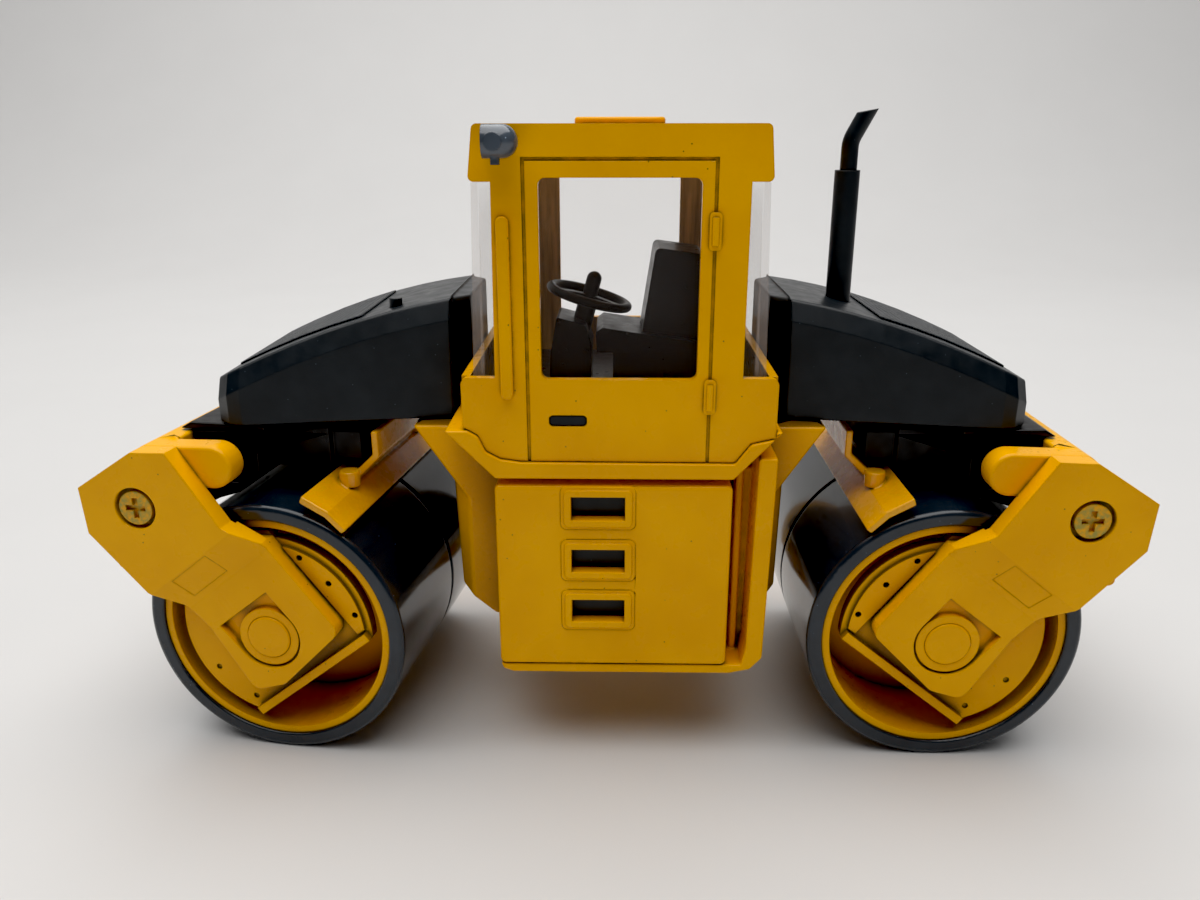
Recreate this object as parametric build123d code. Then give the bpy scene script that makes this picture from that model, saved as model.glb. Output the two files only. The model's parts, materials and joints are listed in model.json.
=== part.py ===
"""Die-cast toy tandem road roller, about 1:35, as an assembly of separate pieces.

Frame: X along the machine with the front towards -X, Y across it, Z up, millimetres.
The parts are laid out about the machine's middle on the ground, then everything is moved so that
the origin is the centre of the bounding box at ground level.  The two sides are mirror images.
"""
from build123d import *
from math import cos, radians, sin
import os

# --- driving dimensions -------------------------------------------------------------------------
WHEELBASE = 95.4
DRUM_R = 20.0
DRUM_WIDTH = 47.2
DRUM_SPLIT = 0.8          # gap between the two halves of a drum
FRONT_STEER_DEG = -8.0    # how far each yoke stands turned about Z at rest
REAR_STEER_DEG = 0.0
CAB_HALF_WIDTH = 23.5
CAB_FLOOR_Z = 51.6        # top of the platform under the cab
CAB_SILL_Z = 58.9         # where the windows start
CAB_HEAD_Z = 84.4         # underside of the roof
CAB_ROOF_Z = 91.4
PILLAR_X = 16.6           # half length of the side wall between sill and roof
HOOD_BOTTOM_Z = 50.3

# --- drums and axles ----------------------------------------------------------------------------
SHELL_WALL = 2.3
LINER_WALL = 1.1
WEB_Y = (9.0, 10.8)       # the disc inside a drum half, measured from the middle
AXLE_R = 3.3
RUNNING_GAP = 0.06        # radial clearance of a turning fit
FIT_GAP = 0.02            # radial clearance of a fixed fit
HUB_R = 6.0

# --- chassis ------------------------------------------------------------------------------------
CORE_HALF_WIDTH = 16.5
CORE_BOTTOM_Z = 19.6
CORE_END_X = 24.0
CORE_CHAMFER = 1.8        # clears the drums' corners at full lock
CORE_TOP_Z = 44.4
NECK_HALF_WIDTH = 9.0
NECK_Z = (50.2, 53.4)
NECK_REACH = 7.5          # neck length past the steering pivot
PIVOT_R = 2.0
PIVOT_HEAD_R = 3.3
PIVOT_HEAD_THICK = 1.0

# --- yoke, in its own frame: X outwards from the pivot, Z from the ground ------------------------
ARM_OUTER_Y = 27.6        # outer face of the upper arm
ARM_JOGGLE = 2.0          # how far the lower arm steps in towards the drum
ARM_INNER_Y = 24.6        # inner face of the upper arm
JOGGLE_S = (15.3, 10.4)   # where the joggle starts and ends, up the arm from the axle
RIM_CLEAR_Y = 24.0        # nothing on the arm comes nearer to the drum's end than this
HUB_PLATE_Y = (20.9, 22.6)
HUB_PLATE_R = 14.9
HUB_DIMPLES = ((6.5, 11.4), (1.0, 12.3), (-5.0, 12.2), (-6.5, -11.2), (0.5, -12.8))
HUB_FLANGE_S = -9.3       # the flange's distance from the axle along the arm
ARM_SLOPE_DEG = 52.0      # direction of the arm above the horizontal
SCREW_AT = (16.6, 40.2)
SCREW_HEAD_R = 2.5
SCREW_R = 1.2
SCREW_DEPTH = 8.5         # how far a screw reaches into the beam
SCREW_HOLE_R = 3.1
ARM_PANEL_S = (11.4, 15.0)
ARM_PANEL_ACROSS = (-4.4, 2.8)
ARM_PANEL_DEPTH = 0.05
TAB_THICK = 4.0           # the beam's tabs behind the arms
TAB_END = (6.2, 45.7)
TAB_END_R = 3.1
BEAM_OUTER = [(16.4, 48.5), (21.6, 44.4), (21.4, 38.0), (14.0, 37.0)]
HEAD_Z = (42.4, 49.0)
HEAD_HALF_WIDTH = 17.0    # behind the beam; narrower over the chassis

# --- cab ----------------------------------------------------------------------------------------
WALL = 1.3
GLASS_WALL = 0.9
GLASS_X = (20.1, 19.2)    # half length of the glazing at its foot and under the roof
WINDOW = (-10.5, 10.4, 58.7, 84.9)
DOOR = (-12.6, 12.4, 47.4, 87.4)
SEAM = 0.45
LAMP_AT = (-15.5, 89.3)
LAMP_R = 2.05
LAMP_STAND_OFF = 2.3      # the lamp's middle from the side wall
WHEEL_R = 6.8
WHEEL_RIM_R = 0.7
WHEEL_TILT_DEG = 15.5
WHEEL_AT = (-4.7, 0.0, 66.1)

# --- side bins ----------------------------------------------------------------------------------
BOX_X = (-17.4, 15.9)
BOX_Z = (15.4, 43.6)
BOX_FACE_Y = 24.0
VENT_MIDDLE_X = -2.9
VENT_ROWS_Z = (40.3, 32.3, 24.4)
VENT_SIZE = (7.6, 3.5)
VENT_FRAME = 1.0
VENT_RIM = 1.5            # the low step round the frame reaches this far from the opening
TRAY_WALL_X = (19.4, 22.0)
TRAY_BOTTOM_Z = 13.8

# --- hoods, measured outwards from the machine's middle ------------------------------------------
HOOD_END_X = 24.3
HOOD_TAIL_X = 21.9
HOOD_NOSE_X = 61.0
HOOD_HALF_WIDTH = (13.2, 18.4)
HOOD_ROUND_X = 54.0       # where the sides start to round off
HOOD_STATIONS = (24.3, 29.0, 33.0, 37.5, 42.0, 46.5, 51.0, 54.0, 56.0, 58.0, 59.6, 60.6, 61.0)
HOOD_BEVEL = (1.5, 2.9)   # the ridge bevel's width and drop
HOOD_SKIN = 1.3
GRILLE_X = (37.5, 56.0)
GRILLE_HALF_WIDTH = 11.5
STACK_X = 33.7
STACK_R = 1.85
STACK_TOP_Z = 84.9
KNOB_AT = (-33.0, -8.5)

HALF_BASE = WHEELBASE / 2
HALF_DRUM = DRUM_WIDTH / 2
HALF_SPLIT = DRUM_SPLIT / 2
FLAT_ARM_Y = ARM_OUTER_Y - ARM_JOGGLE

parts = {}


# --- helpers ------------------------------------------------------------------------------------
def block(x, y, z):
    """Box between two limits on each axis."""
    size = [high - low for low, high in (x, y, z)]
    middle = [(low + high) / 2 for low, high in (x, y, z)]
    return Pos(*middle) * Box(*size)


def prism(points, y):
    """Outline in X and Z, extruded across the machine between two Y planes."""
    outline = Polyline(*[(px, y[0], pz) for px, pz in points], close=True)
    return extrude(make_face(outline), amount=y[1] - y[0], dir=(0, 1, 0))


def rod_y(radius, y, x=0.0, z=0.0):
    """Cylinder across the machine between two Y planes."""
    return Pos(x, (y[0] + y[1]) / 2, z) * Rot(90, 0, 0) * Cylinder(radius, y[1] - y[0])


def rod_z(radius, z, x=0.0, y=0.0):
    """Upright cylinder between two heights."""
    return Pos(x, y, (z[0] + z[1]) / 2) * Cylinder(radius, z[1] - z[0])


def far(solid):
    """The same piece on the machine's other side."""
    return mirror(solid, about=Plane.XZ)


def both_sides(solid):
    return [solid, far(solid)]


def near_side(y):
    """Limits given as distances from the middle, as limits on the near side."""
    return (-y[1], -y[0])


def round_corners(solid, places, radius):
    """Rounds the edges that run across the machine through the given places in X and Z."""
    def through(edge):
        at = edge.center()
        return any(abs(at.X - x) < 0.05 and abs(at.Z - z) < 0.05 for x, z in places)
    return fillet([e for e in solid.edges().filter_by(Axis.Y) if through(e)], radius)


def on_arm(s, across):
    """Point at a distance s up the arm from the axle, and a distance across it, as X and Z."""
    slope = radians(ARM_SLOPE_DEG)
    x = s * cos(slope) - across * sin(slope)
    z = DRUM_R + s * sin(slope) + across * cos(slope)
    return (x, z)


def arm_rectangle(s, across):
    """Rectangle between two distances up the arm and two distances across it."""
    (low, high), (left, right) = s, across
    return [on_arm(low, left), on_arm(high, left), on_arm(high, right), on_arm(low, right)]


def across_arm(points):
    """Cutter across the near arm: its outline is (distance up the arm, distance from the middle)."""
    slope = radians(ARM_SLOPE_DEG)
    up_arm, off_arm = (cos(slope), 0, sin(slope)), (sin(slope), 0, -cos(slope))
    along = Plane(origin=(0, 0, DRUM_R), x_dir=up_arm, z_dir=off_arm)
    return extrude(along * make_face(Polyline(*points, close=True)), amount=25, both=True)


# --- drums --------------------------------------------------------------------------------------
def drum_shell():
    """Near half of a drum's rolling shell, with softened edges."""
    y = near_side((HALF_SPLIT, HALF_DRUM))
    ring = rod_y(DRUM_R, y, z=DRUM_R) - rod_y(DRUM_R - SHELL_WALL, y, z=DRUM_R)
    circles = ring.edges().filter_by(GeomType.CIRCLE).group_by(Axis.Y)
    ring = fillet([e for e in circles[0] if e.radius > DRUM_R - 0.1], 0.8)
    circles = ring.edges().filter_by(GeomType.CIRCLE).group_by(Axis.Y)
    ring = fillet(circles[-1], 0.25)
    circles = ring.edges().filter_by(GeomType.CIRCLE).group_by(Axis.Y)
    return fillet(circles[0].sort_by(SortBy.RADIUS)[0], 0.35)


def drum_wheel():
    """Near half's inner wheel: a liner pressed in the shell, a web and a hub bored for the axle."""
    liner_r = DRUM_R - SHELL_WALL - FIT_GAP
    liner_y = near_side((4.0, HALF_DRUM - 0.45))
    liner = rod_y(liner_r, liner_y, z=DRUM_R) - rod_y(liner_r - LINER_WALL, liner_y, z=DRUM_R)
    web = rod_y(liner_r - 0.1, near_side(WEB_Y), z=DRUM_R)
    hub = rod_y(HUB_R, near_side((1.0, 16.0)), z=DRUM_R)
    bore = rod_y(AXLE_R + RUNNING_GAP, near_side((0.0, 30.0)), z=DRUM_R)
    return liner + web + hub - bore


# --- yoke ---------------------------------------------------------------------------------------
ARM_OUTLINE = [
    (10.9, 48.7), (16.1, 48.5), (25.0, 42.8), (24.6, 35.9), (16.8, 27.0), (12.4, 24.6),
    (9.0, 21.0), (3.0, 11.0), (-1.8, 12.4), (-11.2, 21.8), (-0.9, 35.3), (4.0, 38.0), (7.4, 43.2),
]
ARM_LOW_CORNERS = [(3.0, 11.0), (-1.8, 12.4), (-11.2, 21.8)]
ARM_CORNER_R = 1.8


def arm_near():
    """Side arm: a plate that steps in over the drum's end, with a thick foot round the axle."""
    plate = prism(ARM_OUTLINE, near_side((RIM_CLEAR_Y, ARM_OUTER_Y)))
    plate = round_corners(plate, ARM_LOW_CORNERS, ARM_CORNER_R)
    top, foot = JOGGLE_S
    plate -= across_arm([(top, ARM_OUTER_Y), (foot, FLAT_ARM_Y), (-20.0, FLAT_ARM_Y), (-20.0, 40.0),
                         (top, 40.0)])
    plate -= across_arm([(16.0, 10.0), (16.0, ARM_INNER_Y), (40.0, ARM_INNER_Y), (40.0, 10.0)])
    foot_y = near_side((HUB_PLATE_Y[1], FLAT_ARM_Y))
    foot_block = prism(ARM_OUTLINE, foot_y) & rod_y(15.2, foot_y, z=DRUM_R)
    return plate + round_corners(foot_block, ARM_LOW_CORNERS, ARM_CORNER_R)


def arm_panel():
    """Shallow rectangle sunk into the arm's joggle."""
    low, high = ARM_PANEL_S
    rise = ARM_JOGGLE / (JOGGLE_S[0] - JOGGLE_S[1])
    floor = [(s, FLAT_ARM_Y + (s - JOGGLE_S[1]) * rise - ARM_PANEL_DEPTH) for s in (low, high)]
    cut = across_arm(floor + [(high, 40.0), (low, 40.0)])
    return cut & prism(arm_rectangle(ARM_PANEL_S, ARM_PANEL_ACROSS), near_side((20.0, 30.0)))


def arm_details(plate):
    """Window round the axle's end, screw recess, casting nub and a shallow panel on the joggle."""
    half, depth, boss_r = 4.95, 1.2, 4.6
    window_y = near_side((FLAT_ARM_Y - depth, FLAT_ARM_Y + 1.0))
    window = prism(arm_rectangle((0.0, 5.6), (-half, half)), window_y) + rod_y(half, window_y, z=DRUM_R)
    boss = rod_y(boss_r, near_side((FLAT_ARM_Y - depth - 0.5, FLAT_ARM_Y - 0.35)), z=DRUM_R)
    plate = plate - window + boss
    plate -= rod_y(AXLE_R + FIT_GAP, near_side((10.0, 40.0)), z=DRUM_R)
    x, z = SCREW_AT
    plate -= rod_y(SCREW_HOLE_R, near_side((ARM_OUTER_Y - 1.3, ARM_OUTER_Y + 1)), x, z)
    plate -= rod_y(1.5, near_side((10.0, 40.0)), x, z)
    nub = rod_y(0.8, near_side((ARM_INNER_Y, ARM_INNER_Y + 1.6)), 20.9, 30.8)
    return plate - arm_panel() + nub


def crossbeam():
    """Beam across the yoke's outer end, with a rounded tab behind each arm, screwed to both arms."""
    tab_x, tab_z = TAB_END
    tab_y = near_side((ARM_INNER_Y - TAB_THICK, ARM_INNER_Y))
    tab = prism([(tab_x, tab_z + TAB_END_R)] + BEAM_OUTER + [(11.4, 42.5), (tab_x, tab_z - TAB_END_R)], tab_y)
    tab += rod_y(TAB_END_R, tab_y, tab_x, tab_z)
    half = ARM_INNER_Y - TAB_THICK
    middle = prism([(13.1, 48.6)] + BEAM_OUTER + [(13.1, 39.0)], (-half, half))
    x, z = SCREW_AT
    hole = rod_y(SCREW_R + FIT_GAP, near_side((ARM_INNER_Y - SCREW_DEPTH - 0.5, 40.0)), x, z)
    return middle + tab + far(tab) - hole - far(hole)


def screw_near():
    """Cross-recessed screw that holds an arm to the beam."""
    x, z = SCREW_AT
    head = rod_y(SCREW_HEAD_R, near_side((ARM_OUTER_Y - 1.3, ARM_OUTER_Y - 0.15)), x, z)
    shank = rod_y(SCREW_R, near_side((ARM_INNER_Y - SCREW_DEPTH, ARM_OUTER_Y - 1.3)), x, z)
    slot_y = near_side((ARM_OUTER_Y - 0.75, ARM_OUTER_Y + 1.0))
    cross = block((x - 1.5, x + 1.5), slot_y, (z - 0.4, z + 0.4))
    cross += block((x - 0.4, x + 0.4), slot_y, (z - 1.5, z + 1.5))
    return head + shank - cross


def steering_head():
    """Black head under the hood: turns on the pivot and carries the beam and the scrapers."""
    low, high = HEAD_Z
    body = block((-9.5, 3.0), (-9.0, 9.0), (low, high))
    web = prism([(3.5, high), (-6.5, high), (-6.5, low + 0.3), (3.5, low)], (-13.0, 13.0))
    web += prism([(13.0, low), (13.0, 48.6), (3.0, high), (3.0, low)], (-HEAD_HALF_WIDTH, HEAD_HALF_WIDTH))
    top = prism([(1.5, 48.85), (15.0, 48.85), (13.2, 49.9), (1.5, 49.9)], (-HEAD_HALF_WIDTH, HEAD_HALF_WIDTH))
    top += block((-7.0, 2.0), (-11.0, 11.0), (48.85, 49.9))
    rib = block((-11.0, -6.5), near_side((10.4, 12.0)), (43.6, 48.2))
    return body + web + top + rib + far(rib) - rod_z(PIVOT_R + RUNNING_GAP, (30, 60))


def scraper_inner():
    """Folded bar along the drum on the machine's side, hung from a bracket with rounded lugs."""
    outer = [(-6.6, 42.0), (-10.4, 39.9), (-12.9, 37.3)]
    under = [(-12.1, 36.7), (-9.8, 39.0), (-6.2, 41.0)]
    bar = prism(outer + under, (-24.0, 24.0))
    folded = [(-9.4, 40.0), (-14.2, 44.6), (-14.2, 48.6), (-13.2, 48.6), (-13.2, 45.0), (-8.6, 40.6)]
    bracket = prism(folded, (-13.6, 13.6))
    lug = rod_z(1.5, (40.2, 42.6), -9.6, -14.0)
    return bar + bracket + lug + far(lug)


def scraper_outer():
    """Deep bar along the drum under the beam: its underside follows the drum about 1 mm away."""
    profile = [(4.6, 42.1), (13.0, 42.1), (13.0, 36.3), (10.8, 38.0), (8.0, 39.5), (4.6, 40.6)]
    return prism(profile, (-20.3, 20.3))


def hub_plate_near():
    """Round plate inside the drum's end, cut straight below with a flange that stands out."""
    y = near_side(HUB_PLATE_Y)
    plate = rod_y(HUB_PLATE_R, y, z=DRUM_R)
    half = (HUB_PLATE_R ** 2 - HUB_FLANGE_S ** 2) ** 0.5
    plate -= prism(arm_rectangle((-30, HUB_FLANGE_S), (-20, 20)), y)
    top = HUB_FLANGE_S + 1.3
    flange_y = near_side((HUB_PLATE_Y[0], HUB_PLATE_Y[1] + 1.2))
    plate += prism(arm_rectangle((HUB_FLANGE_S, top), (-half, half)), flange_y)
    pad_y = near_side((HUB_PLATE_Y[0], HUB_PLATE_Y[1] + 0.6))
    pad = prism(arm_rectangle((-7.6, 9.2), (10.4, 20.0)), pad_y)
    plate += pad & rod_y(HUB_PLATE_R - 0.9, pad_y, z=DRUM_R)
    lug = prism(arm_rectangle((10.0, 17.0), (4.5, 10.0)), y)
    plate += lug & rod_y(HUB_PLATE_R + 1.0, y, z=DRUM_R)
    for s, across in HUB_DIMPLES:
        x, z = on_arm(s, across)
        plate -= rod_y(0.45, near_side((HUB_PLATE_Y[1] - 0.3, 30.0)), x, z)
    return plate - rod_y(AXLE_R + FIT_GAP, near_side((10, 40)), z=DRUM_R)


def axle():
    """Rod through both arms, hub plates and drum halves."""
    return rod_y(AXLE_R, (-FLAT_ARM_Y + 0.1, FLAT_ARM_Y - 0.1), z=DRUM_R)


def add_yoke(end, turn, placing):
    """One yoke's nodes and its drum, moved to its place. Placing is for the shape's own handedness."""
    near_arm = arm_details(arm_near())
    pieces = {
        f"{end}_steering_head": steering_head(),
        f"{end}_crossbeam": crossbeam(),
        f"{end}_arm_near": near_arm,
        f"{end}_arm_far": far(near_arm),
        f"{end}_arm_screws": both_sides(screw_near()),
        f"{end}_inner_scraper": scraper_inner(),
        f"{end}_outer_scraper": scraper_outer(),
        f"{end}_hub_plate_near": hub_plate_near(),
        f"{end}_hub_plate_far": far(hub_plate_near()),
        f"{end}_axle": axle(),
        f"{end}_drum_shell_near": drum_shell(),
        f"{end}_drum_shell_far": far(drum_shell()),
        f"{end}_drum_wheel_near": drum_wheel(),
        f"{end}_drum_wheel_far": far(drum_wheel()),
    }
    for name, piece in pieces.items():
        solids = piece if isinstance(piece, list) else [piece]
        parts[name] = [placing * Rot(0, 0, turn) * (mirror(s, about=Plane.YZ) if end == "front" else s)
                       for s in solids]


# --- chassis ------------------------------------------------------------------------------------
def chassis_frame():
    """Cast core between the drums: raised ends round the platform, and a neck over each steering head."""
    half = [(0, CORE_BOTTOM_Z), (18.8, CORE_BOTTOM_Z), (CORE_END_X, 24.0), (CORE_END_X, 41.0),
            (30.0, 50.0), (0, 50.0)]
    core = prism(half, (-CORE_HALF_WIDTH, CORE_HALF_WIDTH))
    upright = core.edges().filter_by(Axis.Z).group_by(Axis.X)[-1]
    core = chamfer(upright, CORE_CHAMFER)
    low, high = NECK_Z
    reach = HALF_BASE + NECK_REACH
    neck = prism([(25.0, 49.0), (28.0, 49.0), (29.5, low), (reach, low), (reach, high), (25.0, high)],
                 (-NECK_HALF_WIDTH, NECK_HALF_WIDTH))
    neck -= rod_z(PIVOT_R + FIT_GAP, (30, 70), HALF_BASE)
    side = core + neck
    left, right = PLATFORM_OUTLINE[0][0] - 0.2, PLATFORM_OUTLINE[1][0] + 0.2
    room = [(left, CORE_TOP_Z), (right, CORE_TOP_Z), (right + 7.2, 52.0), (left - 7.4, 52.0)]
    return side + mirror(side, about=Plane.YZ) - prism(room, (-30, 30))


def pivot_pin(x):
    """Headed pin that a steering head turns on."""
    pin = rod_z(PIVOT_R, (HEAD_Z[0] - 0.1, NECK_Z[1]), x)
    pin += rod_z(PIVOT_HEAD_R, (NECK_Z[1], NECK_Z[1] + PIVOT_HEAD_THICK), x)
    return pin + rod_z(PIVOT_HEAD_R, (HEAD_Z[0] - 1.0, HEAD_Z[0] - 0.1), x)


# --- platform and side bins ---------------------------------------------------------------------
PLATFORM_OUTLINE = [(-17.2, 44.6), (15.9, 44.6), (22.4, 51.5), (-24.0, 51.5)]
CAB_LOWER_OUTLINE = [
    (-21.5, 58.9), (-21.5, 52.0), (-19.4, 50.8), (-18.4, 48.6), (-16.4, 47.5), (-13.5, 47.1),
    (16.0, 47.0), (18.1, 49.8), (21.5, 50.6), (21.5, 58.9),
]


def cab_platform():
    """Tray under the cab: its lip runs along the lower edge of the cab's side wall."""
    base = prism(PLATFORM_OUTLINE, (-CAB_HALF_WIDTH + WALL + 0.1, CAB_HALF_WIDTH - WALL - 0.1))
    lip = prism(PLATFORM_OUTLINE, near_side((CAB_HALF_WIDTH - WALL - 0.1, CAB_HALF_WIDTH + 0.6)))
    room = [(x, z - 0.12 if z < 58 else z) for x, z in CAB_LOWER_OUTLINE]
    lip -= prism(room, (-40, 40))
    return base + lip + far(lip)


def side_tray():
    """Near tray: floor and end wall that carry the bin, tied to the core by a back plate."""
    low, right = TRAY_BOTTOM_Z, TRAY_WALL_X[1]
    outline = [(-17.0, low + 0.5), (-15.5, low), (16.5, low), (19.6, low + 0.7), (21.3, low + 2.6),
               (right, 47.6), (TRAY_WALL_X[0], 47.6), (TRAY_WALL_X[0] - 0.6, 18.0), (18.2, BOX_Z[0] - 0.1),
               (-17.4, BOX_Z[0] - 0.1)]
    tray = prism(outline, near_side((CORE_HALF_WIDTH, BOX_FACE_Y - 0.2)))
    upright = (BOX_Z[0] - 0.1, 44.3)
    inner_y = CORE_HALF_WIDTH
    back = block((BOX_X[1] + 0.6, TRAY_WALL_X[0]), near_side((inner_y, inner_y + 1.2)), upright)
    rib = block((16.9, 17.9), near_side((inner_y, inner_y + 2.6)), upright)
    return tray + back + rib


def vent_block(z, border, depth):
    """Block over one opening of the near bin, larger than it by the border on every side."""
    width, height = [size / 2 + border for size in VENT_SIZE]
    return block((VENT_MIDDLE_X - width, VENT_MIDDLE_X + width), near_side(depth), (z - height, z + height))


def side_bin():
    """Near bin cover with three framed openings."""
    y = near_side((CORE_HALF_WIDTH + 0.1, BOX_FACE_Y))
    cover = block(BOX_X, y, BOX_Z)
    cover = fillet(cover.edges().filter_by(Axis.Y), 0.8)
    face = cover.faces().sort_by(Axis.Y)[0]
    cover = fillet(face.edges(), 0.5)
    cover -= block((-9.0, 3.4), near_side((10, BOX_FACE_Y - 1.6)), (18.0, 42.4))
    for z in VENT_ROWS_Z:
        frame = vent_block(z, VENT_FRAME, (BOX_FACE_Y - 0.8, BOX_FACE_Y + 0.45))
        rim = vent_block(z, VENT_RIM, (BOX_FACE_Y - 0.8, BOX_FACE_Y + 0.15))
        cover += fillet(frame.edges().filter_by(Axis.Y), 0.7) + fillet(rim.edges().filter_by(Axis.Y), 0.9)
        cover -= vent_block(z, 0.0, (BOX_FACE_Y - 3, BOX_FACE_Y + 3))
    return cover


def vent_insert():
    """Dark plate behind the near bin's openings."""
    return block((-8.4, 2.8), near_side((CORE_HALF_WIDTH + 3.6, BOX_FACE_Y - 1.7)), (18.6, 41.9)) - block(
        (-5.0, -0.6), near_side((10, BOX_FACE_Y - 3.4)), (20.0, 40.0))


# --- cab ----------------------------------------------------------------------------------------
ROOF_OUTLINE = [(-19.4, CAB_HEAD_Z), (19.4, CAB_HEAD_Z), (18.8, CAB_ROOF_Z), (-18.6, CAB_ROOF_Z)]
ROOF_CORNER_R = 0.7


def side_wall():
    """Near side wall with the window, the wings below it and the door's seams."""
    y = near_side((CAB_HALF_WIDTH - WALL, CAB_HALF_WIDTH))
    wall = round_corners(prism(CAB_LOWER_OUTLINE, y), [CAB_LOWER_OUTLINE[0], CAB_LOWER_OUTLINE[-1]], 1.0)
    wall += prism([(-16.8, CAB_SILL_Z), (PILLAR_X, CAB_SILL_Z), (PILLAR_X, CAB_HEAD_Z),
                   (-16.5, CAB_HEAD_Z)], y)
    wall += round_corners(prism(ROOF_OUTLINE, y), ROOF_OUTLINE, ROOF_CORNER_R)
    low_x, high_x, low_z, high_z = WINDOW
    window = block((low_x, high_x), near_side((10, 40)), (low_z, high_z))
    wall -= fillet(window.edges().filter_by(Axis.Y), 1.0)
    left, right, bottom, top = DOOR
    groove = near_side((CAB_HALF_WIDTH - 0.3, CAB_HALF_WIDTH + 1))
    wall -= block((left, left + SEAM), groove, (bottom - 2, top))
    wall -= block((right - SEAM, right), groove, (bottom - 2, top))
    wall -= block((left, right), groove, (top - SEAM, top))
    handle = block((-9.6, -4.4), near_side((CAB_HALF_WIDTH - 0.8, 40)), (52.1, 53.7))
    wall -= fillet(handle.edges().filter_by(Axis.Y), 0.6)
    return wall


def cab_shell():
    """Roof, end walls below the glass and both side walls, as one casting."""
    inner_y = CAB_HALF_WIDTH - WALL
    roof = round_corners(prism(ROOF_OUTLINE, (-inner_y, inner_y)), ROOF_OUTLINE, ROOF_CORNER_R)
    roof -= prism([(-18.4, CAB_HEAD_Z - 1), (18.4, CAB_HEAD_Z - 1), (17.9, CAB_ROOF_Z - 1.6),
                   (-17.7, CAB_ROOF_Z - 1.6)], (-30, 30))
    end = block((20.3, 21.5), (-inner_y, inner_y), (CAB_FLOOR_Z, CAB_SILL_Z))
    ends = end + mirror(end, about=Plane.YZ)
    return side_wall() + far(side_wall()) + roof + ends


def cab_glazing():
    """Clear moulding inside the cab, open above and below, with a shoulder under the roof's ends."""
    outer_y = CAB_HALF_WIDTH - WALL - 0.1
    shoulder_z = CAB_HEAD_Z - 0.1
    z = (CAB_FLOOR_Z + 0.3, CAB_ROOF_Z - 2.2)
    outer = [(GLASS_X[0], z[0]), (GLASS_X[1], shoulder_z), (17.8, shoulder_z), (17.4, z[1])]
    outer += [(-px, pz) for px, pz in reversed(outer)]
    skin = GLASS_WALL
    inner = [(GLASS_X[0] - skin, z[0] - 1), (GLASS_X[1] - skin, shoulder_z - skin),
             (17.8 - skin, shoulder_z - skin), (17.4 - skin, z[1] + 1)]
    inner += [(-px, pz) for px, pz in reversed(inner)]
    return prism(outer, (-outer_y, outer_y)) - prism(inner, (skin - outer_y, outer_y - skin))


def roof_panel():
    """Raised hatch on the roof."""
    panel = block((-6.3, 6.1), (-12.0, 12.0), (CAB_ROOF_Z, CAB_ROOF_Z + 0.9))
    panel = fillet(panel.edges().filter_by(Axis.Z), 1.5)
    return fillet(panel.faces().sort_by(Axis.Z)[-1].edges(), 0.4)


def grab_rail():
    """Rounded rib beside the near door."""
    rail = block((-16.0, -14.3), near_side((CAB_HALF_WIDTH, CAB_HALF_WIDTH + 0.8)), (56.0, 80.2))
    rail = fillet(rail.edges().filter_by(Axis.Y), 0.8)
    return fillet(rail.faces().sort_by(Axis.Y)[0].edges(), 0.35)


def door_hinge(z):
    """One of the near door's hinges, standing on the seam."""
    x = DOOR[1] - SEAM / 2
    leaf = block((x - 0.8, x + 0.8), near_side((CAB_HALF_WIDTH, CAB_HALF_WIDTH + 0.5)), (z - 2.4, z + 2.4))
    leaf = fillet(leaf.edges().filter_by(Axis.Y), 0.5)
    knuckle = Pos(x, -CAB_HALF_WIDTH - 0.5, z) * Cylinder(0.45, 3.6)
    return leaf + knuckle


def door_handle():
    """Dark pocket set in the near door."""
    pocket = block((-9.5, -4.5), near_side((CAB_HALF_WIDTH - 0.75, CAB_HALF_WIDTH - 0.2)), (52.2, 53.6))
    return fillet(pocket.edges().filter_by(Axis.Y), 0.5)


def work_light(side):
    """Lamp on a short side peg. Side is -1 for the near side, 1 for the far one."""
    x, z = LAMP_AT
    y = side * (CAB_HALF_WIDTH + LAMP_STAND_OFF)
    lamp = Pos(x - 0.3, y, z) * Rot(0, 90, 0) * Cylinder(LAMP_R, 2.4)
    dome = Pos(x + 0.9, y, z) * Sphere(LAMP_R)
    dome &= block((x + 0.8, x + 5), (y - 5, y + 5), (z - 5, z + 5))
    peg = rod_y(0.9, sorted((y, side * CAB_HALF_WIDTH)), x, z)
    boss = rod_y(1.1, sorted((y, y + side * LAMP_STAND_OFF)), x, z)
    prop = rod_z(0.6, (z - LAMP_R - 0.7, z - LAMP_R + 0.4), x, y)
    return lamp + dome + peg + boss + prop


# --- cab interior -------------------------------------------------------------------------------
def cab_floor():
    return block((-18.0, 18.0), (-20.9, 20.9), (CAB_FLOOR_Z, 53.0))


def seat_pedestal():
    return block((-1.0, 12.0), (-4.5, 4.5), (53.0, 58.6))


def seat_cushion():
    """Wedge-shaped cushion, higher in front."""
    outline = [(-3.4, 58.6), (12.2, 58.6), (12.2, 60.2), (4.0, 61.4), (-2.6, 62.4), (-3.6, 61.6)]
    cushion = prism(outline, (-6.5, 6.5))
    return fillet(cushion.edges().filter_by(Axis.Y), 0.4)


def seat_back():
    """Tall backrest that leans a little backwards."""
    back = prism([(3.4, 61.7), (12.4, 60.4), (12.6, 73.2), (5.3, 74.2)], (-6.0, 6.0))
    return fillet(back.edges().filter_by(Axis.Y).sort_by(Axis.Z)[-2:], 0.8)


def control_console():
    """Instrument console in front of the seat."""
    outline = [(-10.8, 53.0), (-4.4, 53.0), (-4.2, 59.0), (-5.2, 62.4), (-9.6, 63.6), (-10.6, 58.0)]
    console = prism(outline, (-4.5, 4.5))
    return fillet(console.edges().filter_by(Axis.Y).sort_by(Axis.Z)[-2:], 0.4)


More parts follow.
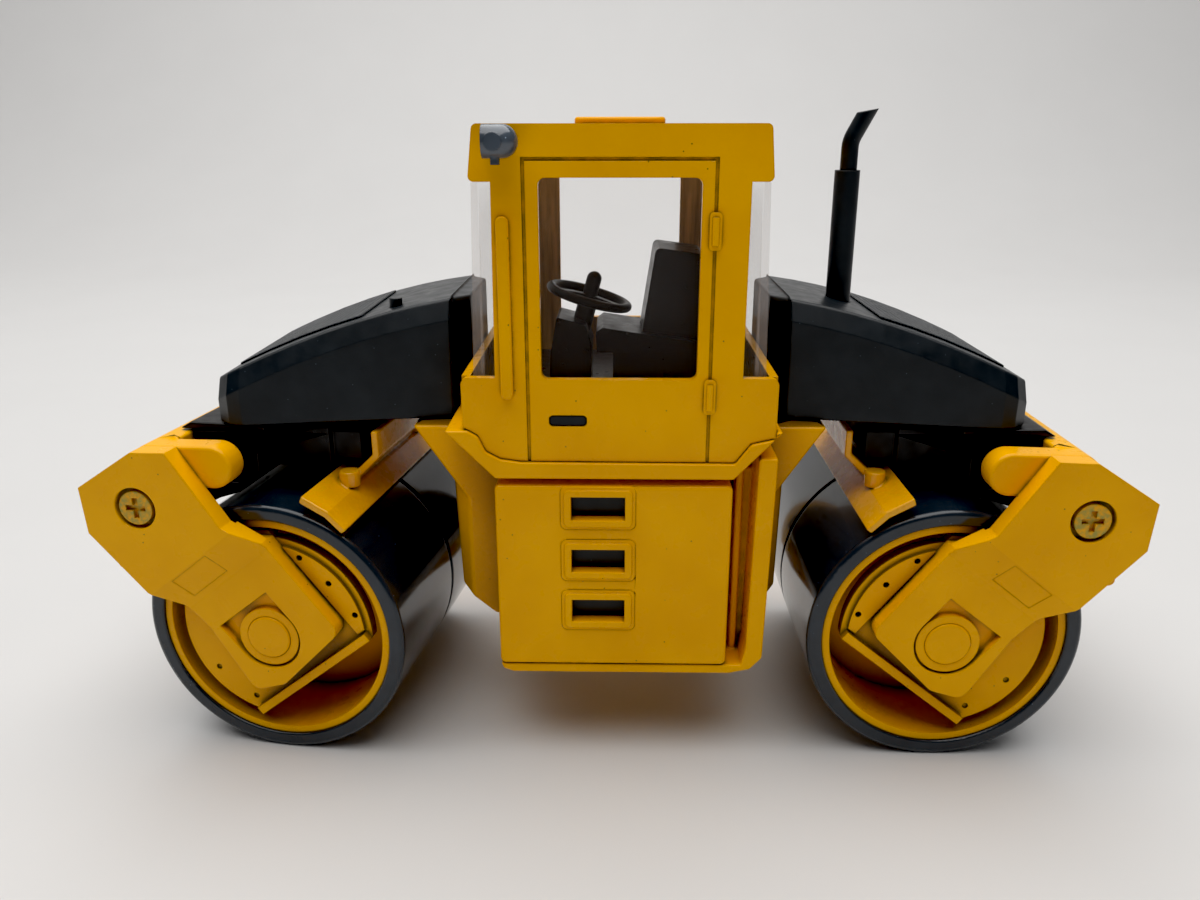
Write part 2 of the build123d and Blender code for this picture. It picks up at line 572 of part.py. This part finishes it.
def wheel_frame():
    """Placing for things built about the tilted steering shaft."""
    return Pos(*WHEEL_AT) * Rot(0, WHEEL_TILT_DEG, 0)


def steering_column():
    """Shaft housing from the console up to the wheel, with a stub for the wheel's hub."""
    column = wheel_frame() * Pos(0, 0, -4.6) * Cylinder(1.5, 6.0)
    stub = wheel_frame() * Pos(0, 0, -0.8) * Cylinder(0.6, 3.2)
    return (column - control_console()) + stub


def steering_wheel():
    """Rim, three spokes and a hub cap that stands up as a knob."""
    rim_middle = WHEEL_R - WHEEL_RIM_R
    rim = Torus(rim_middle, WHEEL_RIM_R)
    hub = Pos(0, 0, 0.9) * Cylinder(1.15, 3.8) + Pos(0, 0, 2.8) * Sphere(1.15)
    wheel = rim + hub
    for turn in (90, 210, 330):
        wheel += Rot(0, 0, turn) * Pos(rim_middle / 2, 0, 0) * Box(rim_middle - 0.4, 1.0, 0.7)
    wheel -= Pos(0, 0, -0.8) * Cylinder(0.6 + RUNNING_GAP, 3.3)
    return wheel_frame() * wheel


# --- hoods --------------------------------------------------------------------------------------
def hood_half_width(x):
    """Half width of the hood's side: it widens evenly, then rounds off towards the nose."""
    narrow, wide = HOOD_HALF_WIDTH
    if x <= HOOD_ROUND_X:
        return narrow + (wide - narrow) * (x - HOOD_END_X) / (HOOD_ROUND_X - HOOD_END_X)
    return wide * (1 - ((x - HOOD_ROUND_X) / (HOOD_NOSE_X + 0.1 - HOOD_ROUND_X)) ** 2.5) ** 0.5


def hood_top_z(x):
    """Height of the hood's top: a shallow arch that rounds over at the nose."""
    along = x - HOOD_END_X
    arch = 67.7 - 0.1466 * along - 0.00534 * along ** 2
    over = max(0.0, x - 57.0) / 4.0
    return arch - 2.2 * (1 - (1 - min(over, 1.0) ** 2) ** 0.5)


def hood_section(x, skin, bottom):
    """Cross-section of the hood at one place, moved inwards by the skin's thickness."""
    half = hood_half_width(x) - skin
    top = hood_top_z(x) - skin
    low_ridge = max(top - HOOD_BEVEL[1], HOOD_BOTTOM_Z + 0.8) + 0.5 * skin
    points = [(half, bottom), (half, low_ridge), (half - HOOD_BEVEL[0], top)]
    ring = points + [(-y, z) for y, z in reversed(points)]
    return make_face(Polyline(*[(x, y, z) for y, z in ring], close=True))


def hood_tail_section(x):
    """Cross-section of the narrower tail towards the cab: its sides draw in."""
    half = hood_half_width(HOOD_END_X) - HOOD_BEVEL[0] - 1.2 * (HOOD_END_X - x)
    top = hood_top_z(HOOD_END_X) - 0.05
    points = [(half, 53.0), (half, top - 0.6), (half - 0.6, top)]
    ring = points + [(-y, z) for y, z in reversed(points)]
    return make_face(Polyline(*[(x, y, z) for y, z in ring], close=True))


def hood():
    """Plastic hood, hollow and open below, with a bevel along both top edges."""
    body = loft([hood_section(x, 0.0, HOOD_BOTTOM_Z) for x in HOOD_STATIONS], ruled=True)
    inner = [HOOD_END_X + HOOD_SKIN]
    inner += [x for x in HOOD_STATIONS if HOOD_END_X < x < HOOD_NOSE_X - HOOD_SKIN - 0.5]
    cavity = loft([hood_section(x, HOOD_SKIN, HOOD_BOTTOM_Z - 5) for x in inner], ruled=True)
    tail = loft([hood_tail_section(x) for x in (HOOD_TAIL_X, HOOD_END_X)], ruled=True)
    neck_room = NECK_HALF_WIDTH + 0.2
    notch = block((20, HOOD_END_X + 3), (-neck_room, neck_room), (45, NECK_Z[1] + 0.2))
    return body - cavity + tail - notch


def hood_grille():
    """Textured plate that lies on the hood's top towards the nose."""
    stations = [x for x in HOOD_STATIONS if GRILLE_X[0] <= x <= GRILLE_X[1]]
    under = [(x, hood_top_z(x)) for x in stations]
    over = [(x, z + 0.35) for x, z in reversed(under)]
    return prism(under + over, (-GRILLE_HALF_WIDTH, GRILLE_HALF_WIDTH))


def exhaust_stack():
    """Lower tube, standing through the rear hood."""
    return rod_z(STACK_R, (60.5, STACK_TOP_Z), STACK_X)


def exhaust_tip():
    """Upper tube, bent outwards and cut on a slant."""
    x = STACK_X + 0.1
    path = FilletPolyline((x, 0, STACK_TOP_Z), (x, 0, 89.0), (x + 2.8, 0, 94.4), radius=4.0)
    tube = sweep(Plane(origin=(x, 0, STACK_TOP_Z)) * Circle(1.25), path=path)
    return tube - Pos(x + 2.2, 0, 97.3) * Rot(0, -10, 0) * Box(20, 20, 8)


def hood_knob():
    return rod_z(0.95, (65.6, 67.2), *KNOB_AT)


# --- assembly -----------------------------------------------------------------------------------
def add_machine():
    """The nodes that don't turn with a yoke or a drum."""
    rear_hood = hood()
    grille = hood_grille()
    knob = hood_knob()
    front_hood = mirror(rear_hood, about=Plane.YZ)
    parts.update({
        "chassis_frame": chassis_frame(),
        "front_pivot_pin": pivot_pin(-HALF_BASE),
        "rear_pivot_pin": pivot_pin(HALF_BASE),
        "cab_platform": cab_platform(),
        "side_tray_near": side_tray(),
        "side_tray_far": far(side_tray()),
        "side_bin_near": side_bin(),
        "side_bin_far": far(side_bin()),
        "vent_inserts": both_sides(vent_insert()),
        "cab_shell": cab_shell(),
        "cab_glazing": cab_glazing(),
        "roof_panel": roof_panel(),
        "grab_rails": both_sides(grab_rail()),
        "door_hinges": both_sides(door_hinge(78.3)) + both_sides(door_hinge(56.4)),
        "door_handles": both_sides(door_handle()),
        "work_lights": [work_light(-1), work_light(1)],
        "cab_floor": cab_floor(),
        "seat_pedestal": seat_pedestal(),
        "seat_cushion": seat_cushion(),
        "seat_back": seat_back(),
        "control_console": control_console(),
        "steering_column": steering_column(),
        "steering_wheel": steering_wheel(),
        "front_hood": front_hood - knob,
        "rear_hood": rear_hood - rod_z(STACK_R + FIT_GAP, (40, 90), STACK_X),
        "front_hood_grille": mirror(grille, about=Plane.YZ),
        "rear_hood_grille": grille,
        "hood_knob": knob,
        "exhaust_stack": exhaust_stack(),
        "exhaust_tip": exhaust_tip(),
    })


def write_parts():
    """Moves everything so that the bounding box is centred, and writes one file per node."""
    everything = Compound(children=[s for solids in parts.values() for s in as_solids(solids)])
    box = everything.bounding_box()
    shift = Pos(-(box.min.X + box.max.X) / 2, -(box.min.Y + box.max.Y) / 2, -box.min.Z)
    os.makedirs("parts", exist_ok=True)
    for name, solids in parts.items():
        export_step(Compound(children=[shift * s for s in as_solids(solids)]), f"parts/{name}.step")


def as_solids(piece):
    """The separate solids of a node, whatever it was built as."""
    pieces = piece if isinstance(piece, list) else [piece]
    return [solid for p in pieces for solid in p.solids()]


add_machine()
add_yoke("front", FRONT_STEER_DEG, Pos(-HALF_BASE, 0, 0))
add_yoke("rear", REAR_STEER_DEG, Pos(HALF_BASE, 0, 0))
write_parts()
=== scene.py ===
"""Looks of the toy road roller: materials, softened edges, floor, light and camera.

Everything is in metres in the frame of the CAD model: X along the machine with its front towards -X,
Y across it with the near side towards -Y, and Z up.
"""
import json
import math

import bpy
from mathutils import Matrix, Vector

MM = 0.001
PER_MM = 1.0 / MM          # object coordinates are scaled by this, so noise scales are per millimetre

# --- camera and light ---------------------------------------------------------------------------
CAMERA_LENS = 28.73
CAMERA_SENSOR = 36.0
CAMERA_CLIP_START = 0.005
CAMERA_AT = (-0.12, -148.68, 90.74)       # from the machine's middle on the ground, in mm
CAMERA_PITCH_DEG = -18.541
CAMERA_YAW_DEG = 1.144
CAMERA_ROLL_DEG = 0.059
WORLD_COLOUR = (0.85, 0.87, 0.92)
WORLD_STRENGTH = 0.07
CEILING_AT = (-0.04, 0.03, 0.95)
CEILING_SIZE = 1.30
CEILING_WATTS = 15.0
CEILING_COLOUR = (1.0, 0.99, 0.975)
CEILING_AIM = (0.0, 0.0, 0.04)           # from the machine's middle on the ground
FLOOR_COLOUR = (0.71, 0.705, 0.70)
FLOOR_HALF_WIDTH = 2.4
FLOOR_NEAR_Y = -2.4
FLOOR_BACK_Y = 0.45                      # the floor starts to curve up here
BACKDROP_RADIUS = 0.35
BACKDROP_STEPS = 24
BACKDROP_TOP = 1.6
BLACK_LEVEL = 0.010                      # the picture's deepest tones fall to black

# --- paint and plastic --------------------------------------------------------------------------
YELLOW = (0.97, 0.480, 0.0)
YELLOW_DEEP = (0.90, 0.425, 0.0)
MOULDED_YELLOW = (0.93, 0.45, 0.003)
MOULDED_YELLOW_DEEP = (0.80, 0.38, 0.003)
# dark colour for dirt specks, and for painted shade in seams and corners
GRIME_AND_SHADE = (0.13, 0.105, 0.010)
# brown painted shade in deep hollows
HOLLOW_SHADE_BROWN = (0.19, 0.095, 0.003)
SHADE_BROWN = (0.40, 0.235, 0.095)       # the cab's inside, painted as yellow paint in shade
DARK_BLUE_GREY = (0.0075, 0.0105, 0.0135)
DRUM_BLUE = (0.013, 0.019, 0.027)
BLACK = (0.0035, 0.0035, 0.0045)
LAMP_GREY = (0.060, 0.075, 0.095)
CLEAR = (1.0, 0.90, 0.86)
CLEAR_ALPHA = (0.02, 0.15)               # the glazing's side walls, and its end walls seen edge on
GLASS_END_X = 18.3                       # the end walls are farther from the middle, in mm
STEEL = (0.42, 0.40, 0.36)
STEEL_DULL = (0.20, 0.18, 0.15)
SCREW_WORN = (0.36, 0.30, 0.060)
SCREW_COPPER = (0.55, 0.17, 0.035)
INSIDE_LIGHTER = 2.1                     # the streaks on the cab's inside are this much lighter
SOFT_EDGE_MM = 0.28                      # how wide an edge catches the light
CAB_SHADED_INSIDE = {"X": 20.0, "Y": 22.25, "Z": 84.3}      # the cab's walls take the brown painted shade within this, in mm
MASK_BLUR = 0.05                         # half the width of that brown's own edge, in mm
MIX_FIRST, MIX_SECOND, MIX_RESULT = 6, 7, 2          # a Mix node's colour sockets

# --- edges rounded in the mesh, by node, in mm ---------------------------------------------------
# The arms' faint sunk panels are shallower than 0.1 mm, so their edges take only a very small rounding.
EDGE_SEGMENTS = 3
EDGE_ANGLE_DEG = 35.0
WELD_MM = 0.002
FLAT_ANGLE_DEG = 1.0
ENDS = ("front", "rear")
SIDES = ("near", "far")
MACHINE_EDGES_MM = {
    "cab_platform": 0.30, "side_tray_near": 0.35, "side_tray_far": 0.35, "side_bin_near": 0.12,
    "side_bin_far": 0.12, "chassis_frame": 0.50, "front_hood": 0.35, "rear_hood": 0.35,
    "seat_pedestal": 0.30, "cab_glazing": 0.12, "front_hood_grille": 0.15, "rear_hood_grille": 0.15,
}
YOKE_EDGES_MM = {
    "arm_near": 0.06, "arm_far": 0.06, "crossbeam": 0.50, "inner_scraper": 0.25,
    "outer_scraper": 0.20, "steering_head": 0.30, "axle": 0.30,
}

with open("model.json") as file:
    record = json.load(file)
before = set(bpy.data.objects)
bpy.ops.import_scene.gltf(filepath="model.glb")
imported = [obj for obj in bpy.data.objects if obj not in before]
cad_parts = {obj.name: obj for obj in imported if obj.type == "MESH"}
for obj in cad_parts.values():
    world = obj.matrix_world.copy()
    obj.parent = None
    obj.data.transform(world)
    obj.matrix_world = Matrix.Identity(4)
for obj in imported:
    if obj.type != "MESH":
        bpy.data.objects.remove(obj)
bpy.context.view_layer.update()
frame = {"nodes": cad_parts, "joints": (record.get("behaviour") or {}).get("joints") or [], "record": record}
NODES = frame["nodes"]


def machine_middle():
    """The machine's middle on the ground, halfway between the two steering pivots."""
    pivots = [Vector(j["pos_m"]) for j in frame["joints"] if j["name"] in ("front_steer", "rear_steer")]
    middle = (pivots[0] + pivots[1]) / 2
    return Vector((middle.x, middle.y, 0.0))


MIDDLE = machine_middle()


# --- shader graphs ------------------------------------------------------------------------------
class Graph:
    """A material's nodes, with short calls for the few kinds used here."""

    def __init__(self, name):
        self.material = bpy.data.materials.new(name)
        self.material.use_nodes = True
        self.tree = self.material.node_tree
        self.shader = self.tree.nodes["Principled BSDF"]
        place = self.tree.nodes.new("ShaderNodeTexCoord").outputs["Object"]
        scaled = self.node("ShaderNodeVectorMath", operation="SCALE")
        scaled.inputs["Scale"].default_value = PER_MM
        self.join(place, scaled.inputs[0])
        self.place = scaled.outputs[0]

    def node(self, kind, **settings):
        made = self.tree.nodes.new(kind)
        for key, value in settings.items():
            setattr(made, key, value)
        return made

    def join(self, source, target):
        self.tree.links.new(source, target)

    def set(self, **values):
        for key, value in values.items():
            socket = self.shader.inputs[key.replace("_", " ")]
            socket.default_value = (*value, 1.0) if isinstance(value, tuple) else value

    def noise(self, scale, detail=2.0, roughness=0.5, stretch=None):
        made = self.node("ShaderNodeTexNoise")
        made.inputs["Scale"].default_value = scale
        made.inputs["Detail"].default_value = detail
        made.inputs["Roughness"].default_value = roughness
        source = self.place
        if stretch:
            mapping = self.node("ShaderNodeMapping")
            mapping.inputs["Scale"].default_value = stretch
            self.join(source, mapping.inputs["Vector"])
            source = mapping.outputs["Vector"]
        self.join(source, made.inputs["Vector"])
        return made.outputs["Fac"]

    def fit(self, value, low, high, to_low=0.0, to_high=1.0):
        """Value from low to high, taken to the other range and held at its ends."""
        made = self.node("ShaderNodeMapRange")
        for key, number in zip(("From Min", "From Max", "To Min", "To Max"), (low, high, to_low, to_high)):
            made.inputs[key].default_value = number
        self.join(value, made.inputs["Value"])
        return made.outputs["Result"]

    def times(self, first, second, operation="MULTIPLY"):
        """The two values multiplied, or joined by another operation."""
        made = self.node("ShaderNodeMath", operation=operation)
        for socket, value in zip(made.inputs, (first, second)):
            if isinstance(value, (int, float)):
                socket.default_value = value
            else:
                self.join(value, socket)
        return made.outputs[0]

    def mix(self, share, first, second):
        """Colour between two, where each is a colour or the output of another mix."""
        made = self.node("ShaderNodeMix", data_type="RGBA")
        self.join(share, made.inputs["Factor"])
        for socket, value in zip((made.inputs[MIX_FIRST], made.inputs[MIX_SECOND]), (first, second)):
            if isinstance(value, tuple):
                socket.default_value = (*value, 1.0)
            else:
                self.join(value, socket)
        return made.outputs[MIX_RESULT]

    def crevices(self, reach_mm, low, high):
        """1 in corners and seams narrower than the reach, 0 on open faces."""
        made = self.node("ShaderNodeAmbientOcclusion", samples=8)
        made.inputs["Distance"].default_value = reach_mm * MM
        return self.fit(made.outputs["AO"], high, low)

    def bump(self, height, strength, distance_mm):
        """Bump from a height, over edges that catch the light as if slightly rounded."""
        edge = self.node("ShaderNodeBevel", samples=4)
        edge.inputs["Radius"].default_value = SOFT_EDGE_MM * MM
        made = self.node("ShaderNodeBump")
        self.join(edge.outputs["Normal"], made.inputs["Normal"])
        made.inputs["Strength"].default_value = strength
        made.inputs["Distance"].default_value = distance_mm * MM
        self.join(height, made.inputs["Height"])
        self.join(made.outputs["Normal"], self.shader.inputs["Normal"])

    def specks(self, scale, share):
        """1 on small scattered specks that cover about the given share of the surface."""
        cells = self.node("ShaderNodeTexVoronoi")
        cells.inputs["Scale"].default_value = scale
        self.join(self.place, cells.inputs["Vector"])
        return self.fit(cells.outputs["Distance"], share, 0.6 * share)

    def away_from_middle(self, axis):
        """Distance from the machine's middle along X or Y, or from the ground along Z, in mm."""
        split = self.node("ShaderNodeSeparateXYZ")
        self.join(self.place, split.inputs["Vector"])
        middle = getattr(MIDDLE, axis.lower()) / MM
        return self.times(self.times(split.outputs[axis], middle, "SUBTRACT"), 0.0, "ABSOLUTE")

    def within(self, half_sizes):
        """1 nearer to the middle than every given half size, 0 outside."""
        share = 1.0
        for axis, half in half_sizes.items():
            inside = self.fit(self.away_from_middle(axis), half + MASK_BLUR, half - MASK_BLUR)
            share = self.times(inside, share)
        return share


def enamel_graph(name):
    """Glossy yellow enamel with uneven depth, and its tone with a few dirt specks; the callers add painted
    shade in the seams.
    """
    g = Graph(name)
    tone = g.mix(g.fit(g.noise(0.09, 3.0), 0.35, 0.65), YELLOW, YELLOW_DEEP)
    tone = g.mix(g.specks(0.45, 0.055), tone, GRIME_AND_SHADE)
    g.join(g.fit(g.noise(0.35, 4.0), 0.3, 0.7, 0.24, 0.36), g.shader.inputs["Roughness"])
    g.set(Specular_IOR_Level=0.20, Coat_Weight=0.05, Coat_Roughness=0.08)
    g.bump(g.noise(1.6, 2.0), 0.25, 0.05)
    return g, tone


def yellow_enamel(name, reach_mm=1.1, deep_mm=None):
    """Enamel on a die-casting: painted shade and dirt in corners within the reach, brown painted shade in
    deeper hollows.
    """
    g, tone = enamel_graph(name)
    if deep_mm:
        # brown painted shade in hollows within deep_mm
        tone = g.mix(g.crevices(deep_mm, 0.40, 0.85), tone, HOLLOW_SHADE_BROWN)
    # dark painted shade, mixed with some dirt, in seams and corners within reach_mm
    seam_shade_and_dirt = g.times(g.crevices(reach_mm, 0.42, 0.80), g.fit(g.noise(0.5, 3.0), 0.3, 0.6, 0.55, 1.0))
    g.join(g.mix(seam_shade_and_dirt, tone, GRIME_AND_SHADE), g.shader.inputs["Base Color"])
    return g.material


def cab_enamel(name):
    """The cab's enamel: outside as on the other castings, inside a streaky brown that is painted shade."""
    g, tone = enamel_graph(name)
    # painted shade, with some dirt, in the outside's seams and corners
    seam_shade_and_dirt = g.times(g.crevices(1.0, 0.42, 0.80), g.fit(g.noise(0.5, 3.0), 0.3, 0.6, 0.45, 1.0))
    outside = g.mix(seam_shade_and_dirt, tone, GRIME_AND_SHADE)
    streaks = g.fit(g.noise(1.0, 3.0, 0.6, (1.0, 1.0, 0.06)), 0.35, 0.65)
    # the inside is painted shade: brown with lighter streaks
    inside = g.mix(streaks, SHADE_BROWN, tuple(INSIDE_LIGHTER * c for c in SHADE_BROWN))
    g.join(g.mix(g.within(CAB_SHADED_INSIDE), outside, inside), g.shader.inputs["Base Color"])
    return g.material


def yellow_plastic(name):
    """Moulded yellow plastic, a little deeper and softer than the paint."""
    g = Graph(name)
    tone = g.mix(g.fit(g.noise(0.15, 3.0), 0.35, 0.65), MOULDED_YELLOW, MOULDED_YELLOW_DEEP)
    # painted shade in corners within 1.2 mm, in the dark dirt colour
    g.join(g.mix(g.crevices(1.2, 0.3, 0.8), tone, GRIME_AND_SHADE), g.shader.inputs["Base Color"])
    g.join(g.fit(g.noise(0.6, 4.0), 0.3, 0.7, 0.20, 0.34), g.shader.inputs["Roughness"])
    g.set(Subsurface_Weight=0.06, Subsurface_Scale=0.0008, Coat_Weight=0.12, Coat_Roughness=0.12)
    g.bump(g.noise(1.8, 3.0), 0.2, 0.05)
    return g.material


def moulded_dark(name, colour, rough, grain, shine, coat=0.0):
    """Dark moulded plastic with a fine grain and uneven gloss, between two roughnesses."""
    g = Graph(name)
    lighter = tuple(1.5 * c for c in colour)
    tone = g.mix(g.fit(g.noise(0.2, 4.0), 0.4, 0.7), colour, lighter)
    g.join(g.mix(g.specks(0.6, 0.05), tone, tuple(9.0 * c for c in colour)), g.shader.inputs["Base Color"])
    g.join(g.fit(g.noise(0.5, 5.0), 0.3, 0.7, *rough), g.shader.inputs["Roughness"])
    g.set(Specular_IOR_Level=shine, Coat_Weight=coat, Coat_Roughness=0.06)
    g.bump(g.noise(2.4, 3.0), grain, 0.03)
    return g.material


def grille_plastic(name):
    """The hood's dark plastic with a fine woven pattern of small squares."""
    g = Graph(name)
    lighter = tuple(2.2 * c for c in DARK_BLUE_GREY)
    tone = g.mix(g.fit(g.noise(0.3, 4.0), 0.4, 0.7), DARK_BLUE_GREY, lighter)
    g.join(tone, g.shader.inputs["Base Color"])
    g.join(g.fit(g.noise(0.8, 4.0), 0.3, 0.7, 0.34, 0.46), g.shader.inputs["Roughness"])
    g.set(Specular_IOR_Level=0.36)
    bars = []
    for axis in ("X", "Y"):
        made = g.node("ShaderNodeTexWave", bands_direction=axis)
        made.inputs["Scale"].default_value = 0.30
        g.join(g.place, made.inputs["Vector"])
        bars.append(made.outputs["Fac"])
    g.bump(g.times(*bars), 0.9, 0.3)
    return g.material


def clear_plastic(name):
    """Clear thin moulding with a faint pink tint and slightly uneven faces."""
    g = Graph(name)
    g.join(g.mix(g.noise(0.5, 3.0, 0.5, (1.0, 1.0, 0.1)), CLEAR, tuple(0.8 * c for c in CLEAR)),
           g.shader.inputs["Base Color"])
    g.join(g.fit(g.noise(0.4, 3.0), 0.4, 0.8, 0.03, 0.10), g.shader.inputs["Roughness"])
    g.join(g.fit(g.away_from_middle("X"), GLASS_END_X, GLASS_END_X + 0.1, *CLEAR_ALPHA),
           g.shader.inputs["Alpha"])
    g.set(Specular_IOR_Level=0.5)
    return g.material


def bare_steel(name):
    """Plain steel with uneven polish."""
    g = Graph(name)
    g.join(g.mix(g.noise(0.8, 4.0), STEEL, STEEL_DULL), g.shader.inputs["Base Color"])
    g.join(g.fit(g.noise(1.5, 4.0), 0.3, 0.7, 0.25, 0.5), g.shader.inputs["Roughness"])
    g.set(Metallic=1.0)
    return g.material


def worn_screw(name):
    """Painted screw head rubbed to a dull greenish yellow, coppery in the cross."""
    g = Graph(name)
    worn = g.mix(g.fit(g.noise(1.4, 4.0), 0.35, 0.65), SCREW_WORN, MOULDED_YELLOW_DEEP)
    g.join(g.mix(g.crevices(0.7, 0.25, 0.75), worn, SCREW_COPPER), g.shader.inputs["Base Color"])
    g.join(g.fit(g.noise(1.5, 4.0), 0.3, 0.7, 0.30, 0.5), g.shader.inputs["Roughness"])
    g.set(Metallic=0.35)
    g.bump(g.noise(3.0, 3.0), 0.3, 0.06)
    return g.material


# --- softened edges -----------------------------------------------------------------------------
def soften(node, width_mm):
    """Rounds a CAD node's sharp edges with modifiers: its own mesh stays as imported."""
    piece = NODES[node]
    weld = piece.modifiers.new("weld", "WELD")
    weld.merge_threshold = WELD_MM * MM
    flat = piece.modifiers.new("flatten", "DECIMATE")
    flat.decimate_type = "DISSOLVE"
    flat.angle_limit = math.radians(FLAT_ANGLE_DEG)
    edge = piece.modifiers.new("edge", "BEVEL")
    edge.width = width_mm * MM
    edge.segments = EDGE_SEGMENTS
    edge.limit_method = "ANGLE"
    edge.use_clamp_overlap = False
    edge.angle_limit = math.radians(EDGE_ANGLE_DEG)
    edge.harden_normals = True


# --- materials on the CAD nodes -----------------------------------------------------------------
def paint(node, material):
    """Gives a CAD node its one material."""
    piece = NODES[node]
    piece.data.materials.clear()
    piece.data.materials.append(material)


def finish_cad_nodes():
    """Paints every CAD node, by its material slot unless it has a material of its own."""
    by_slot = {
        "yellow_paint": yellow_enamel("yellow_enamel"),
        "yellow_plastic": yellow_plastic("yellow_moulding"),
        "dark_plastic": moulded_dark("hood_moulding", DARK_BLUE_GREY, (0.30, 0.42), 0.25, 0.36),
        "drum_plastic": moulded_dark("drum_moulding", DRUM_BLUE, (0.10, 0.18), 0.03, 0.42, coat=0.3),
        "black_plastic": moulded_dark("black_moulding", BLACK, (0.26, 0.42), 0.03, 0.32),
        "clear_plastic": clear_plastic("clear_moulding"),
        "steel_pin": bare_steel("bare_steel"),
    }
    own = {
        "cab_shell": cab_enamel("cab_enamel"),
        # painted brown shade in the frame's hollows within 14 mm
        "chassis_frame": yellow_enamel("chassis_enamel", deep_mm=14.0),
        "work_lights": moulded_dark("lamp_moulding", LAMP_GREY, (0.12, 0.22), 0.04, 0.5, coat=0.5),
    }
    grille, screw = grille_plastic("grille_moulding"), worn_screw("worn_screw")
    # painted brown shade in the hollows of the hub plates and drum wheels
    hub_enamel = yellow_enamel("hub_enamel", reach_mm=0.9, deep_mm=5.0)
    for end in ENDS:
        own[f"{end}_hood_grille"] = grille
        own[f"{end}_arm_screws"] = screw
        for side in SIDES:
            own[f"{end}_hub_plate_{side}"] = hub_enamel
            own[f"{end}_drum_wheel_{side}"] = hub_enamel
    for subpart in frame["record"]["subparts"]:
        paint(subpart["node"], own.get(subpart["node"], by_slot[subpart["material_slot"]]))


# --- stage --------------------------------------------------------------------------------------
def add_camera():
    """The camera at the fitted place, with no depth of field."""
    data = bpy.data.cameras.new("camera")
    data.lens = CAMERA_LENS
    data.sensor_width = CAMERA_SENSOR
    data.clip_start = CAMERA_CLIP_START
    camera = bpy.data.objects.new("camera", data)
    bpy.context.scene.collection.objects.link(camera)
    yaw = Matrix.Rotation(math.radians(CAMERA_YAW_DEG), 4, "Z")
    pitch = Matrix.Rotation(math.radians(CAMERA_PITCH_DEG), 4, "X")
    roll = Matrix.Rotation(math.radians(CAMERA_ROLL_DEG), 4, "Y")
    level = Matrix.Rotation(math.radians(90.0), 4, "X")
    at = MIDDLE + Vector(CAMERA_AT) * MM
    camera.matrix_world = Matrix.Translation(at) @ yaw @ pitch @ roll @ level
    bpy.context.scene.camera = camera


def add_lights():
    """A dim room and one large soft light overhead."""
    world = bpy.data.worlds.new("soft_room")
    world.use_nodes = True
    background = world.node_tree.nodes["Background"]
    background.inputs["Color"].default_value = (*WORLD_COLOUR, 1.0)
    background.inputs["Strength"].default_value = WORLD_STRENGTH
    bpy.context.scene.world = world
    data = bpy.data.lights.new("ceiling", "AREA")
    data.size = CEILING_SIZE
    data.energy = CEILING_WATTS
    data.color = CEILING_COLOUR
    lamp = bpy.data.objects.new("ceiling", data)
    bpy.context.scene.collection.objects.link(lamp)
    lamp.location = CEILING_AT
    toward = MIDDLE + Vector(CEILING_AIM) - Vector(CEILING_AT)
    lamp.rotation_euler = toward.to_track_quat("-Z", "Y").to_euler()


def add_sweep():
    """Pale floor that curves up into a backdrop all in one sheet."""
    g = Graph("pale_sweep")
    g.join(g.mix(g.noise(0.02, 3.0), FLOOR_COLOUR, tuple(0.96 * c for c in FLOOR_COLOUR)),
           g.shader.inputs["Base Color"])
    g.set(Roughness=0.55, Specular_IOR_Level=0.3)
    g.bump(g.noise(1.2, 3.0), 0.06, 0.05)
    line = [(FLOOR_NEAR_Y, 0.0), (FLOOR_BACK_Y, 0.0)]
    for i in range(1, BACKDROP_STEPS + 1):
        turn = math.radians(90.0 * i / BACKDROP_STEPS)
        rise = BACKDROP_RADIUS * (1 - math.cos(turn))
        line.append((FLOOR_BACK_Y + BACKDROP_RADIUS * math.sin(turn), rise))
    line.append((FLOOR_BACK_Y + BACKDROP_RADIUS, BACKDROP_TOP))
    points = [(side * FLOOR_HALF_WIDTH, y, z) for y, z in line for side in (-1, 1)]
    faces = [(2 * i, 2 * i + 1, 2 * i + 3, 2 * i + 2) for i in range(len(line) - 1)]
    mesh = bpy.data.meshes.new("sweep")
    mesh.from_pydata(points, [], faces)
    mesh.shade_smooth()
    mesh.materials.append(g.material)
    sweep = bpy.data.objects.new("sweep", mesh)
    bpy.context.scene.collection.objects.link(sweep)


def soften_edges():
    for node, width in MACHINE_EDGES_MM.items():
        soften(node, width)
    for end in ENDS:
        for part, width in YOKE_EDGES_MM.items():
            soften(f"{end}_{part}", width)


def set_view():
    """Plain view transform with slightly deeper darks."""
    view = bpy.context.scene.view_settings
    view.view_transform = "Standard"
    view.use_curve_mapping = True
    view.curve_mapping.black_level = (BLACK_LEVEL,) * 3
    view.curve_mapping.update()


soften_edges()
finish_cad_nodes()
add_sweep()
add_lights()
add_camera()
set_view()
